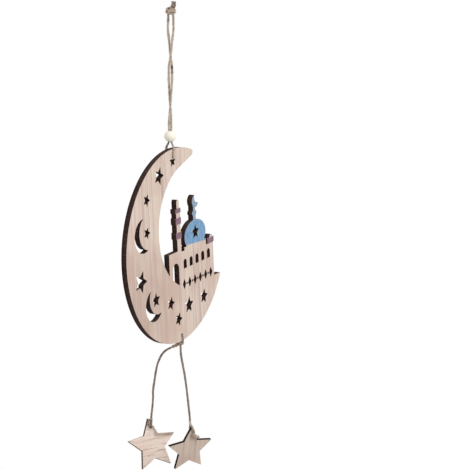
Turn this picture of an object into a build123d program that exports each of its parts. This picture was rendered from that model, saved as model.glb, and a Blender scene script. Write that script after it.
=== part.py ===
"""Hanging crescent ornament.

A crescent board with a mosque cut from the same sheet hangs on a knotted loop of
twine that runs through a wooden bead. Two small stars hang below its lower edge.
The origin is the hook point, inside the loop under its knot: +Z is up, +X runs along
the board to the right and +Y points behind it. Millimetres and degrees.
"""

import os
from math import cos, pi, radians, sin, sqrt, tan

from build123d import *

# Board outline, in the board's own upright frame with the outer circle's centre as origin
OUTER_RADIUS = 86.0
BOARD_THICKNESS = 5.0
BAY_RADIUS = 55.7
BAY_X = 24.8
BAY_Z = 14.6
HORN_TURN = 17.0
HORN_FILLET = 2.6
LOW_HORN_FILLET = 0.8
HANG_TILT = 5.66

# Mosque walls and roof
WALL_LEFT = -15.2
WALL_RIGHT = 63.6
WALL_FOOT = 2.0
ROOF_Z = -5.3
NOTCH_Z = -6.9
STEP_X = 12.1
STEP_Z = -4.2
SLOT_LEFT = 50.8
SLOT_Z = -10.0

# Minaret
MINARET_X = 3.5
SHAFT_WIDTH = 6.4
SPIRE_WIDTH = 4.2
SPIRE_TOP = 40.2
BAND_WIDTH = 9.3
BANDS = [(5.2, 11.3), (18.3, 24.0), (28.3, 32.2)]

# Dome and its finial
DOME_X = 32.0
DOME_Z = 3.5
DOME_HALF_WIDTH = 19.0
DOME_HALF_HEIGHT = 13.3
NECK_WIDTH = 4.8
BULB_Z = 22.7
BULB_WIDTH = 7.8
BULB_HEIGHT = 5.2
STEM_WIDTH = 3.6
MOON_X = 34.2
MOON_Z = 33.0
MOON_RADIUS = 5.6
MOON_BITE_RADIUS = 5.5
MOON_BITE_X = 4.3
MOON_BITE_Z = 3.2
DOME_STAR_RADIUS = 6.9
DOME_STAR_X = 32.5
DOME_STAR_Z = 5.5

# Turret beside the right wall
TURRET_LEFT = 53.7
TURRET_RIGHT = 65.2
TURRET_TOP = -5.2
CAP_X = 59.9
CAP_WIDTH = 5.0
CAP_RISE = 2.8

# Windows, door and the pierced band of lozenges and dots
WINDOW_COUNT = 5
WINDOW_FIRST_X = 12.3
WINDOW_PITCH = 10.6
WINDOW_SILL_Z = -22.9
WINDOW_WIDTH = 5.5
WINDOW_HEIGHT = 8.4
DOOR_X = -4.2
DOOR_WIDTH = 10.9
DOOR_TOP = -15.2
LOZENGE_COUNT = 6
LOZENGE_FIRST_X = 9.5
LOZENGE_PITCH = 9.6
LOZENGE_Z = -36.8
LOZENGE_WIDTH = 5.8
LOZENGE_HEIGHT = 9.6
DOT_DIAMETER = 2.2

# Pierced stars as the direction from the crescent's centre, the distance in from its rim, the
# radius and the direction of one tip; moons the same way, with the shift and radius of their bite
STAR_RATIO = 0.48
PIERCED_STARS = [
    (111.5195, 14.3022, 8.3, -4),
    (134.1275, 16.3419, 5.8, -8),
    (156.4723, 31.1393, 5.6, -6),
    (-164.3278, 19.7365, 10.3, -6),
    (-135.7927, 29.7796, 6.9, 90),
    (-107.5426, 35.2393, 6.6, -1),
    (-74.3466, 26.7007, 7.9, 84),
    (-52.2532, 15.4317, 7.2, 78),
    (-92.7097, 20.4267, 6.6, -5),
]
PIERCED_MOONS = [
    (159.8036, 26.3312, 14.9, 8.4, 1.9, 15.3),
    (-135.3304, 24.6928, 14.3, 7.3, 5.4, 14.6),
]

# Twine, bead and the hole that the board hangs by
TWINE_DIAMETER = 1.9
STAR_TWINE_DIAMETER = 1.5
CLEARANCE = 0.3
RUN_SHARE = 0.45
STRAND_Y = 1.1
LEG_EASE = 0.1
HANG_STAR_X = -1.9
HANG_STAR_EDGE = 10.7
HANG_STAR_RADIUS = 5.3
HANG_SEAT = 2.2
BIGHT_DROP = 121.9
SWIVEL_DROP = 34.5
BEAD_DROP = 102.3
BEAD_DIAMETER = 10.5
BEAD_BORE = 4.6
BEAD_EASE = 0.4

# Top knot, with each tail's place and lean
KNOT_BASE = 0.8
KNOT_WIDTH = 10.4
KNOT_HEIGHT = 7.6
KNOT_ROUND = 2.1
KNOT_TAIL_LENGTH = 5.4
KNOT_TAILS = [(0.3, -1.5, 0.10, -0.30), (-0.3, 0.7, -0.06, -0.36)]

# Hole and knot that the star cords hang from
CORD_HOLE_X = 1.5
CORD_HOLE_EDGE = 4.7
CORD_HOLE_DIAMETER = 3.2
EDGE_LOOP_RISE = 0.5
EDGE_KNOT_DROP = 3.1
EDGE_KNOT_DIP = 26.5
EDGE_KNOT_RADIUS = 1.5
EDGE_KNOT_FLAT = 1.1
EDGE_KNOT_ROUND = 0.6
EDGE_KNOT_FRONT = 5.1
EDGE_KNOT_BACK = 9.6
LEFT_CORD_GAP = 0.45
RIGHT_CORD_Y = -1.0
RIGHT_CORD_DROP = 2.5

# Hanging stars: radius, facing to the left of straight ahead, lean back and roll
HUNG_STAR_RATIO = 0.49
HUNG_STAR_THICKNESS = 3.0
HUNG_STAR_HOLE = 2.4
HUNG_STAR_HOLE_EDGE = 7.2
HUNG_STAR_HOLE_X = 1.0
TIE_STANDOFF = 2.9
TIE_KNOT_DIAMETER = 4.2
TIE_KNOT_SEAT = 0.5
TIE_TAIL_LENGTH = 6.0
TIE_TAIL_DIP = 20.0
LEFT_STAR_RADIUS = 23.9
LEFT_STAR_POSE = (34.6, 14.9, 5.2)
LEFT_TURN_Z = -365.2
RIGHT_STAR_RADIUS = 21.8
RIGHT_STAR_POSE = (33.3, -16.2, 3.4)
RIGHT_TURN_Z = -366.1

os.makedirs("parts", exist_ok=True)

# Places worked out from the dimensions
half_board = BOARD_THICKNESS / 2
half_twine = TWINE_DIAMETER / 2
half_star_twine = STAR_TWINE_DIAMETER / 2
leg_y = half_board + CLEARANCE + half_twine
edge_leg_y = half_board + CLEARANCE + half_star_twine
hang_star_z = OUTER_RADIUS - HANG_STAR_EDGE
hang_z = hang_star_z + HANG_SEAT
tilt = radians(HANG_TILT)
board_x = hang_z * sin(tilt) - HANG_STAR_X * cos(tilt)
board_z = -BIGHT_DROP - HANG_STAR_X * sin(tilt) - hang_z * cos(tilt)
board_plane = Plane(
    origin=(board_x, 0, board_z), x_dir=(cos(tilt), 0, sin(tilt)), z_dir=(0, -1, 0)
)
bay_bottom = BAY_Z - BAY_RADIUS
cord_hole_z = CORD_HOLE_EDGE - OUTER_RADIUS
cord_hole = board_plane.from_local_coords((CORD_HOLE_X, cord_hole_z, 0))
edge_z = board_z - sqrt(OUTER_RADIUS**2 - (cord_hole.X - board_x) ** 2)
edge_knot = Vector(cord_hole.X, 0, edge_z - EDGE_KNOT_DROP)
edge_knot_way = Vector(0, cos(radians(EDGE_KNOT_DIP)), -sin(radians(EDGE_KNOT_DIP)))
edge_knot_up = Vector(0, sin(radians(EDGE_KNOT_DIP)), cos(radians(EDGE_KNOT_DIP)))
edge_knot_front = edge_knot - edge_knot_way * EDGE_KNOT_FRONT
edge_knot_top = Plane(origin=edge_knot + edge_knot_up * EDGE_KNOT_FLAT, z_dir=edge_knot_up)
left_start = edge_knot + edge_knot_way * (EDGE_KNOT_BACK + LEFT_CORD_GAP)
right_start_z = edge_knot.Z - RIGHT_CORD_Y * tan(radians(EDGE_KNOT_DIP)) - RIGHT_CORD_DROP
print("board centre", round(board_x, 2), round(board_z, 2))
print("cord hole", cord_hole, "edge knot", edge_knot)
print("left cord starts", left_start, "right cord starts", round(right_start_z, 2))


def from_rim(turn, gap):
    """Point on the board in a direction from the crescent's centre, a distance in from its rim."""
    return Vector(OUTER_RADIUS - gap, 0).rotate(Axis.Z, turn)


def star_points(radius, ratio, tip_angle):
    """Ten corners of a five-pointed star, starting at the tip in the given direction."""
    corners = []
    for step in range(10):
        reach = radius if step % 2 == 0 else radius * ratio
        angle = radians(tip_angle + 36 * step)
        corners.append((reach * cos(angle), reach * sin(angle)))
    return corners


def corner_radii(points):
    """Largest arc that the two runs at each inner point of a route allow."""
    places = [Vector(*point) for point in points]
    radii = []
    for before, here, after in zip(places, places[1:], places[2:]):
        turn = radians((here - before).get_angle(after - here))
        shorter = min((here - before).length, (after - here).length)
        radii.append(RUN_SHARE * shorter / tan(turn / 2))
    return radii


def twine_tube(name, points, tube_radius):
    """Tube of twine along straight runs joined by tangent arcs."""
    radii = corner_radii(points)
    with BuildPart() as tube:
        with BuildLine() as route:
            FilletPolyline(*points, radius=radii)
        with BuildSketch(Plane(origin=route.line @ 0, z_dir=route.line % 0)):
            Circle(tube_radius)
        sweep()
    length = sum(edge.length for edge in route.edges())
    fill = tube.part.volume / (length * pi * tube_radius**2)
    print(name, "radii", [round(radius, 1) for radius in radii])
    print(name, "length", round(length, 1), "volume over section times length", round(fill, 4))
    return tube


def star_frame(facing, lean, roll):
    """Right and front directions of a hanging star."""
    turn, back, spin = radians(facing), radians(lean), radians(roll)
    level = Vector(cos(turn), -sin(turn), 0)
    front = Vector(-sin(turn) * cos(back), -cos(turn) * cos(back), sin(back))
    right = level * cos(spin) + front.cross(level) * sin(spin)
    return right, front


# Crescent board with the mosque
horn_angle = radians(90 + HORN_TURN)
horn_start = Vector(BAY_X + BAY_RADIUS * cos(horn_angle), BAY_Z + BAY_RADIUS * sin(horn_angle))
horn_way = Vector(cos(radians(HORN_TURN)), sin(radians(HORN_TURN)))
horn_along = horn_start.dot(horn_way)
horn_reach = sqrt(horn_along**2 - horn_start.length**2 + OUTER_RADIUS**2) - horn_along
horn_tip = horn_start + horn_way * horn_reach
low_tip = Vector(sqrt(OUTER_RADIUS**2 - bay_bottom**2), bay_bottom)
far_left = Vector(-OUTER_RADIUS, 0)

with BuildPart() as crescent_plate:
    with BuildSketch(board_plane) as board_face:
        # Walls, minaret, turret, dome and finial
        Polygon(
            (WALL_LEFT, bay_bottom - WALL_FOOT),
            (WALL_RIGHT, bay_bottom - WALL_FOOT),
            (WALL_RIGHT, SLOT_Z),
            (SLOT_LEFT, SLOT_Z),
            (SLOT_LEFT, STEP_Z),
            (STEP_X, STEP_Z),
            (STEP_X, NOTCH_Z),
            (MINARET_X + SHAFT_WIDTH / 2, NOTCH_Z),
            (MINARET_X + SHAFT_WIDTH / 2, ROOF_Z),
            (WALL_LEFT, ROOF_Z),
        )
        shaft_top = BANDS[-1][1]
        with Locations((MINARET_X, NOTCH_Z)):
            Rectangle(SHAFT_WIDTH, shaft_top - NOTCH_Z, align=(Align.CENTER, Align.MIN))
        for band_bottom, band_top in BANDS:
            with Locations((MINARET_X, band_bottom)):
                Rectangle(BAND_WIDTH, band_top - band_bottom, align=(Align.CENTER, Align.MIN))
        spire_spring = SPIRE_TOP - SPIRE_WIDTH / 2
        with Locations((MINARET_X, NOTCH_Z)):
            Rectangle(SPIRE_WIDTH, spire_spring - NOTCH_Z, align=(Align.CENTER, Align.MIN))
        with Locations((MINARET_X, spire_spring)):
            Circle(SPIRE_WIDTH / 2)
        with Locations((TURRET_LEFT, SLOT_Z)):
            Rectangle(TURRET_RIGHT - TURRET_LEFT, TURRET_TOP - SLOT_Z, align=(Align.MIN, Align.MIN))
        with Locations((CAP_X, TURRET_TOP)):
            Ellipse(CAP_WIDTH / 2, CAP_RISE)
        with Locations((DOME_X, DOME_Z)):
            Ellipse(DOME_HALF_WIDTH, DOME_HALF_HEIGHT)
        with Locations((DOME_X, DOME_Z)):
            Rectangle(NECK_WIDTH, BULB_Z - DOME_Z, align=(Align.CENTER, Align.MIN))
        with Locations((DOME_X, BULB_Z)):
            Ellipse(BULB_WIDTH / 2, BULB_HEIGHT / 2)
        with Locations((DOME_X, BULB_Z)):
            Rectangle(STEM_WIDTH, MOON_Z - MOON_RADIUS / 2 - BULB_Z, align=(Align.CENTER, Align.MIN))
        with Locations((MOON_X, MOON_Z)):
            Circle(MOON_RADIUS)
        with Locations((MOON_X + MOON_BITE_X, MOON_Z + MOON_BITE_Z)):
            Circle(MOON_BITE_RADIUS, mode=Mode.SUBTRACT)
        # Arched door, open down to the crescent
        door_spring = DOOR_TOP - DOOR_WIDTH / 2
        with Locations((DOOR_X, door_spring)):
            Circle(DOOR_WIDTH / 2, mode=Mode.SUBTRACT)
            Rectangle(
                DOOR_WIDTH,
                door_spring - bay_bottom + 2 * WALL_FOOT,
                align=(Align.CENTER, Align.MAX),
                mode=Mode.SUBTRACT,
            )
        # Crescent
        with BuildLine():
            ThreePointArc(horn_tip, far_left, low_tip)
            Line(low_tip, (BAY_X, bay_bottom))
            CenterArc((BAY_X, BAY_Z), BAY_RADIUS, -90, HORN_TURN - 180)
            Line(horn_start, horn_tip)
        make_face()
        fillet(board_face.vertices().sort_by_distance(horn_tip)[0], HORN_FILLET)
        fillet(board_face.vertices().sort_by_distance(low_tip)[0], LOW_HORN_FILLET)
        # Arched windows
        window_spring = WINDOW_SILL_Z + WINDOW_HEIGHT - WINDOW_WIDTH / 2
        for window in range(WINDOW_COUNT):
            window_x = WINDOW_FIRST_X + window * WINDOW_PITCH
            with Locations((window_x, window_spring)):
                Circle(WINDOW_WIDTH / 2, mode=Mode.SUBTRACT)
                Rectangle(
                    WINDOW_WIDTH,
                    window_spring - WINDOW_SILL_Z,
                    align=(Align.CENTER, Align.MAX),
                    mode=Mode.SUBTRACT,
                )
        # Band of lozenges with a dot between neighbours
        for lozenge in range(LOZENGE_COUNT):
            lozenge_x = LOZENGE_FIRST_X + lozenge * LOZENGE_PITCH
            with Locations((lozenge_x, LOZENGE_Z)):
                Polygon(
                    (LOZENGE_WIDTH / 2, 0),
                    (0, LOZENGE_HEIGHT / 2),
                    (-LOZENGE_WIDTH / 2, 0),
                    (0, -LOZENGE_HEIGHT / 2),
                    mode=Mode.SUBTRACT,
                )
            if lozenge > 0:
                with Locations((lozenge_x - LOZENGE_PITCH / 2, LOZENGE_Z)):
                    Circle(DOT_DIAMETER / 2, mode=Mode.SUBTRACT)
        # Pierced stars and crescents
        for star_turn, rim_gap, star_radius, tip_angle in PIERCED_STARS:
            with Locations(from_rim(star_turn, rim_gap)):
                Polygon(*star_points(star_radius, STAR_RATIO, tip_angle), mode=Mode.SUBTRACT)
        with Locations((DOME_STAR_X, DOME_STAR_Z)):
            Polygon(*star_points(DOME_STAR_RADIUS, STAR_RATIO, 90), mode=Mode.SUBTRACT)
        for moon_turn, rim_gap, moon_radius, bite_x, bite_z, bite_radius in PIERCED_MOONS:
            moon_middle = from_rim(moon_turn, rim_gap)
            with BuildSketch(mode=Mode.SUBTRACT):
                with Locations(moon_middle):
                    Circle(moon_radius)
                with Locations(moon_middle + Vector(bite_x, bite_z)):
                    Circle(bite_radius, mode=Mode.SUBTRACT)
        # Holes for the hanging loop and for the star cords
        with Locations((HANG_STAR_X, hang_star_z)):
            Polygon(*star_points(HANG_STAR_RADIUS, STAR_RATIO, 90), mode=Mode.SUBTRACT)
        with Locations((CORD_HOLE_X, cord_hole_z)):
            Circle(CORD_HOLE_DIAMETER / 2, mode=Mode.SUBTRACT)
    extrude(amount=half_board, both=True)
crescent_plate.part.label = "crescent_plate"
export_step(crescent_plate.part, "parts/crescent_plate.step")

# Wooden bead, threaded on both strands of the loop
with BuildPart() as wood_bead:
    with Locations((0, 0, -BEAD_DROP)):
        Sphere(BEAD_DIAMETER / 2)
        Cylinder(BEAD_BORE / 2, BEAD_DIAMETER, mode=Mode.SUBTRACT)
    fillet(wood_bead.edges().filter_by(GeomType.CIRCLE), BEAD_EASE)
wood_bead.part.label = "wood_bead"
export_step(wood_bead.part, "parts/wood_bead.step")

# Loop of twine: one strand down from the knot, through the board and back up
strand = [
    (0.0, -2.5, KNOT_BASE),
    (0.0, -2.5, -4.0),
    (0.0, -3.0, -10.0),
    (-0.35, -2.05, -18.0),
    (-0.75, -1.3, -26.0),
    (-1.1, -0.6, -34.5),
    (-1.15, 0.9, -42.5),
    (-0.65, 1.4, -51.0),
    (-0.05, 1.35, -59.5),
    (0.5, 1.1, -68.0),
    (1.05, 0.6, -76.5),
    (1.1, -0.25, -84.5),
    (0.85, -0.7, -91.5),
    (0.2, -STRAND_Y, -97.5),
    (0.0, -STRAND_Y, -102.0),
    (0.0, -STRAND_Y, -107.9),
    (0.0, -leg_y - LEG_EASE, -112.1),
    (0.0, -leg_y, -116.7),
    (0.0, -leg_y - LEG_EASE, -BIGHT_DROP),
]
loop_points = strand + [(-x, -y, z) for x, y, z in reversed(strand)]
loop = twine_tube("hanging cord", loop_points, half_twine)

with BuildPart() as hanging_cord_top:
    add(loop.part)
    split(bisect_by=Plane.XY.offset(-SWIVEL_DROP), keep=Keep.TOP)
hanging_cord_top.part.label = "hanging_cord_top"
export_step(hanging_cord_top.part, "parts/hanging_cord_top.step")

with BuildPart() as hanging_cord_lower:
    add(loop.part)
    split(bisect_by=Plane.XY.offset(-SWIVEL_DROP), keep=Keep.BOTTOM)
hanging_cord_lower.part.label = "hanging_cord_lower"
export_step(hanging_cord_lower.part, "parts/hanging_cord_lower.step")

# Knot that closes the loop, with the twine's two cut ends
knot_top = KNOT_BASE + KNOT_HEIGHT
with BuildPart() as top_knot:
    with Locations((0, 0, KNOT_BASE)):
        Cylinder(KNOT_WIDTH / 2, KNOT_HEIGHT, align=(Align.CENTER, Align.CENTER, Align.MIN))
    fillet(top_knot.edges().filter_by(GeomType.CIRCLE), KNOT_ROUND)
    for tail_x, tail_y, lean_x, lean_y in KNOT_TAILS:
        tail_root = (tail_x, tail_y, knot_top - TWINE_DIAMETER)
        with BuildSketch(Plane(origin=tail_root, z_dir=(lean_x, lean_y, 1))):
            Circle(half_twine)
        extrude(amount=TWINE_DIAMETER + KNOT_TAIL_LENGTH)
top_knot.part.label = "top_knot"
export_step(top_knot.part, "parts/top_knot.step")

# Twine through the hole at the lower edge, and the knot under it
edge_run = twine_tube(
    "edge loop",
    [
        (cord_hole.X, -edge_leg_y, edge_z - EDGE_KNOT_DROP),
        (cord_hole.X, -edge_leg_y, cord_hole.Z + EDGE_LOOP_RISE),
        (cord_hole.X, edge_leg_y, cord_hole.Z + EDGE_LOOP_RISE),
        (cord_hole.X, edge_leg_y, edge_z - 2 * EDGE_KNOT_DROP),
    ],
    half_star_twine,
)
with BuildPart() as edge_loop:
    add(edge_run.part)
    split(bisect_by=edge_knot_top, keep=Keep.TOP)
edge_loop.part.label = "edge_loop"
export_step(edge_loop.part, "parts/edge_loop.step")

with BuildPart() as star_cord_knot:
    with BuildSketch(Plane(origin=edge_knot_front, z_dir=edge_knot_way)):
        Circle(EDGE_KNOT_RADIUS)
    extrude(amount=EDGE_KNOT_FRONT + EDGE_KNOT_BACK)
    fillet(star_cord_knot.edges().filter_by(GeomType.CIRCLE), EDGE_KNOT_ROUND)
    split(bisect_by=edge_knot_top, keep=Keep.BOTTOM)
star_cord_knot.part.label = "star_cord_knot"
export_step(star_cord_knot.part, "parts/star_cord_knot.step")

# Cords of the two stars
left_points = [
    tuple(left_start),
    (cord_hole.X, 12.5, -293.5),
    (18.7, 16.8, -297.1),
    (18.7, 20.35, -302.9),
    (18.7, 22.95, -309.6),
    (18.7, 24.65, -318.8),
    (18.75, 26.15, -328.1),
    (18.75, 26.95, -333.7),
    (18.75, 26.6, -337.1),
    (18.8, 27.05, -343.5),
    (18.85, 27.75, -350.1),
    (18.9, 28.55, -356.2),
    (18.9, 28.55, -361.0),
]
star_cord_left = twine_tube("left star cord", left_points, half_star_twine)
star_cord_left.part.label = "star_cord_left"
export_step(star_cord_left.part, "parts/star_cord_left.step")

right_points = [
    (cord_hole.X, RIGHT_CORD_Y, right_start_z),
    (18.7, -1.2, -293.2),
    (18.6, -2.0, -299.2),
    (18.4, -3.9, -307.0),
    (18.2, -6.1, -316.2),
    (18.0, -7.95, -327.0),
    (17.9, -9.4, -337.5),
    (17.75, -10.9, -347.0),
    (17.6, -11.9, -355.6),
    (17.6, -11.9, -361.2),
]
star_cord_right = twine_tube("right star cord", right_points, half_star_twine)
star_cord_right.part.label = "star_cord_right"
export_step(star_cord_right.part, "parts/star_cord_right.step")

# Hanging stars, the ends of their cords and the knots that hold them
hung_stars = [
    ("left", LEFT_STAR_RADIUS, LEFT_STAR_POSE, left_points[-1], LEFT_TURN_Z, -1),
    ("right", RIGHT_STAR_RADIUS, RIGHT_STAR_POSE, right_points[-1], RIGHT_TURN_Z, 1),
]
for side, radius, pose, cord_end, turn_z, way in hung_stars:
    right, front = star_frame(*pose)
    up = front.cross(right)
    through = front * way
    turn = Vector(cord_end[0], cord_end[1], turn_z)
    hole = turn + through * TIE_STANDOFF
    hole_rise = radius - HUNG_STAR_HOLE_EDGE
    star_middle = hole - up * hole_rise - right * HUNG_STAR_HOLE_X
    knot_face = hole + through * (HUNG_STAR_THICKNESS / 2 + CLEARANCE)
    knot_middle = knot_face + through * (TIE_KNOT_DIAMETER / 2 - TIE_KNOT_SEAT)
    tail_way = right * cos(radians(TIE_TAIL_DIP)) - up * sin(radians(TIE_TAIL_DIP))

    with BuildPart() as hung_star:
        with BuildSketch(Plane(origin=star_middle, x_dir=right, z_dir=front)):
            Polygon(*star_points(radius, HUNG_STAR_RATIO, 90))
            with Locations((HUNG_STAR_HOLE_X, hole_rise)):
                Circle(HUNG_STAR_HOLE / 2, mode=Mode.SUBTRACT)
        extrude(amount=HUNG_STAR_THICKNESS / 2, both=True)
    hung_star.part.label = f"{side}_star"
    export_step(hung_star.part, f"parts/{side}_star.step")

    tie_points = [cord_end, tuple(turn), tuple(knot_face)]
    star_tie = twine_tube(f"{side} star tie", tie_points, half_star_twine)
    star_tie.part.label = f"{side}_star_tie"
    export_step(star_tie.part, f"parts/{side}_star_tie.step")

    with BuildPart() as tie_knot:
        with Locations(knot_middle):
            Sphere(TIE_KNOT_DIAMETER / 2)
        with BuildSketch(Plane(origin=knot_middle, z_dir=tail_way)):
            Circle(half_star_twine)
        extrude(amount=TIE_TAIL_LENGTH)
        split(bisect_by=Plane(origin=knot_face, z_dir=through), keep=Keep.TOP)
    tie_knot.part.label = f"{side}_star_knot"
    export_step(tie_knot.part, f"parts/{side}_star_knot.step")
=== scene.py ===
"""Looks of the hanging crescent ornament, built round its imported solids, in metres."""

import math

import bpy
import numpy as np
from mathutils import Matrix, Vector


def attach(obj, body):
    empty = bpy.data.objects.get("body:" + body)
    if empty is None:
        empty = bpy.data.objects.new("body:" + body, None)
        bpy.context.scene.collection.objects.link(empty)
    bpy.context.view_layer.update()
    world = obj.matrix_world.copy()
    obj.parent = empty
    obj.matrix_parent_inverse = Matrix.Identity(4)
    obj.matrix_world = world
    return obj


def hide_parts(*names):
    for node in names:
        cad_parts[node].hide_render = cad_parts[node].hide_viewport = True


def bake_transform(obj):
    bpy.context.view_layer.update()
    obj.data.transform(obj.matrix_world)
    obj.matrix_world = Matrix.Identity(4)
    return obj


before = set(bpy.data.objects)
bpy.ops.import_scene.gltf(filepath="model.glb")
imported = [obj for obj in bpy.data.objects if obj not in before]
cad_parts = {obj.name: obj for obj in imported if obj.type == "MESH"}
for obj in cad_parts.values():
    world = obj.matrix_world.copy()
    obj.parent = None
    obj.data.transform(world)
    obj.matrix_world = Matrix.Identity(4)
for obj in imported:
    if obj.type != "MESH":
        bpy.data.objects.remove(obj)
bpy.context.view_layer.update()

MM = 0.001
FULL_TURN = 2 * math.pi

# Camera: the photograph's viewing direction, distance and lens
IMAGE_SIZE = 470
CAMERA_TURN = math.radians(60.29)
CAMERA_RISE = math.radians(8.11)
CAMERA_ROLL = math.radians(0.35)
CAMERA_DISTANCE = 1.8
FOCAL_PIXELS = 2062.7
SENSOR = 36.0
BOARD_CENTRE = Vector((9.53, 0, -198.83)) * MM
BOARD_PIXEL = (174.92, 245.52)


def make_camera():
    """Camera at the photograph's angle, turned so that the board's centre falls on its pixel."""
    back = Vector(
        (
            -math.sin(CAMERA_TURN) * math.cos(CAMERA_RISE),
            -math.cos(CAMERA_TURN) * math.cos(CAMERA_RISE),
            math.sin(CAMERA_RISE),
        )
    )
    right = Vector((math.cos(CAMERA_TURN), -math.sin(CAMERA_TURN), 0))
    up = back.cross(right)
    level = Matrix((right, up, back)).transposed()
    aim = Vector(
        (
            (BOARD_PIXEL[0] - IMAGE_SIZE / 2) / FOCAL_PIXELS,
            (IMAGE_SIZE / 2 - BOARD_PIXEL[1]) / FOCAL_PIXELS,
            -1,
        )
    )
    roll = Matrix.Rotation(CAMERA_ROLL, 3, "Z")
    swing = (roll @ aim).rotation_difference(Vector((0, 0, -1))).to_matrix()
    data = bpy.data.cameras.new("camera")
    data.sensor_width = SENSOR
    data.lens = FOCAL_PIXELS * SENSOR / IMAGE_SIZE
    camera = bpy.data.objects.new("camera", data)
    bpy.context.scene.collection.objects.link(camera)
    camera.matrix_world = (level @ swing @ roll).to_4x4()
    camera.location = BOARD_CENTRE + back * CAMERA_DISTANCE
    bpy.context.scene.camera = camera


make_camera()


# Twine: plies twisted round each other, the star twine a little fuller than its core
TWINE_DIAMETER = 1.9 * MM
STAR_TWINE_DIAMETER = 1.5 * MM
STAR_TWINE_FULL = 1.75 * MM
TWINE_LAY = 6.2 * MM
PLIES = 3
PLY_SIDES = 8
PLY_OVERLAP = 1.08
RING_STEP = 0.32 * MM
ROUTE_RESOLUTION = 16

# Unevenness: slow swellings of the whole twine, short lumps of each ply and a rough skin
SLUB_LENGTH = 3.6 * MM
SLUB_RANGE = (1.02, 1.3)
LUMP_LENGTH = 1.3 * MM
LUMP_SPREAD = 0.09
SKIN_SPREAD = 0.05
FEWEST_SPANS = 4
FRAY_OPENING = 0.8
FRAY_THINNING = 0.45
STREAK_SHIFT = 2.7
EVEN_TWINE = [(0, 1.0)]

# Stray fibres: shares of the longest one, rise off the twine, sideways curl and taper
FIBRES_PER_MM = 2.6
FIBRE_LONGEST = 2.6 * MM
FIBRE_LENGTHS = (0.35, 1.0)
FIBRE_LIFTS = (0.15, 0.7)
FIBRE_LIFT_SHARE = 0.55
FIBRE_LIFT_BEND = 1.4
FIBRE_CURL = 0.35
FIBRE_ROOT = 0.42
FIBRE_RADIUS = 0.07 * MM
FIBRE_PLACES = np.array([0.0, 0.4, 0.75, 1.0])
FIBRE_TAPER = np.array([1.0, 0.9, 0.65, 0.25])
FIBRE_SIDES = 3
FIBRE_STREAKS = (-1, 6)
FIBRE_DEPTH = 1.15
FIBRE_SEED_STEP = 50


def srgb(red, green, blue):
    """Linear colour of an 8-bit screen colour."""
    linear = []
    for value in (red, green, blue):
        share = value / 255
        linear.append(share / 12.92 if share <= 0.04045 else ((share + 0.055) / 1.055) ** 2.4)
    return (*linear, 1.0)


def nurbs_line(points):
    """Points along the smooth NURBS line through a route given in millimetres."""
    data = bpy.data.curves.new("route", "CURVE")
    data.dimensions = "3D"
    data.resolution_u = ROUTE_RESOLUTION
    spline = data.splines.new("NURBS")
    spline.points.add(len(points) - 1)
    for slot, point in zip(spline.points, points):
        slot.co = (*(value * MM for value in point), 1)
    spline.order_u = 3
    spline.use_endpoint_u = True
    holder = bpy.data.objects.new("route", data)
    mesh = bpy.data.meshes.new_from_object(holder)
    line = np.array([vertex.co for vertex in mesh.vertices])
    bpy.data.meshes.remove(mesh)
    bpy.data.objects.remove(holder)
    bpy.data.curves.remove(data)
    return line


def even_line(line, step):
    """The same line with points about step apart, and the length up to each."""
    along = np.concatenate([[0], np.cumsum(np.linalg.norm(np.diff(line, axis=0), axis=1))])
    places = np.linspace(0, along[-1], max(2, int(along[-1] / step) + 1))
    spaced = np.stack([np.interp(places, along, line[:, axis]) for axis in range(3)], axis=1)
    return spaced, places


def line_frames(line):
    """Tangent and two side directions at each point, carried along without twist."""
    tangents = np.gradient(line, axis=0)
    tangents /= np.linalg.norm(tangents, axis=1, keepdims=True)
    start = np.cross(tangents[0], (1.0, 0.0, 0.0))
    if np.linalg.norm(start) < 0.1:
        start = np.cross(tangents[0], (0.0, 1.0, 0.0))
    sides = [start / np.linalg.norm(start)]
    for tangent in tangents[1:]:
        side = sides[-1] - tangent * np.dot(sides[-1], tangent)
        sides.append(side / np.linalg.norm(side))
    sides = np.array(sides)
    return tangents, sides, np.cross(tangents, sides)


class MeshParts:
    """Collects tubes and fibres of one twine piece with the values its material reads."""

    def __init__(self):
        self.points = []
        self.faces = []
        self.lay = []

    def tube(self, rings, lay):
        """Closed tube through rings of points, with a face at each end."""
        first = len(self.points)
        count, sides = rings.shape[:2]
        self.points.extend(rings.reshape(-1, 3))
        self.lay.extend(lay.reshape(-1, 3))
        for ring in range(count - 1):
            for side in range(sides):
                after = (side + 1) % sides
                low = first + ring * sides
                high = low + sides
                self.faces.append((low + side, low + after, high + after, high + side))
        for ring, turn in ((0, -1), (count - 1, 1)):
            corner = first + ring * sides
            self.faces.append(tuple(corner + side for side in range(sides))[::turn])

    def build(self, name, material):
        """Smooth mesh piece of all that was collected."""
        mesh = bpy.data.meshes.new(name)
        mesh.from_pydata([tuple(point) for point in self.points], [], self.faces)
        values = mesh.attributes.new("lay", "FLOAT_VECTOR", "POINT")
        values.data.foreach_set("vector", np.array(self.lay, np.float32).ravel())
        mesh.polygons.foreach_set("use_smooth", [True] * len(mesh.polygons))
        mesh.materials.append(material)
        mesh.update()
        piece = bpy.data.objects.new(name, mesh)
        bpy.context.scene.collection.objects.link(piece)
        return piece


def uneven(along, length, draw):
    """Values drawn about a length apart, joined up along the line."""
    count = max(FEWEST_SPANS, int(along[-1] / length))
    return np.interp(along, np.linspace(0, along[-1], count), draw(count))


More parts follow.
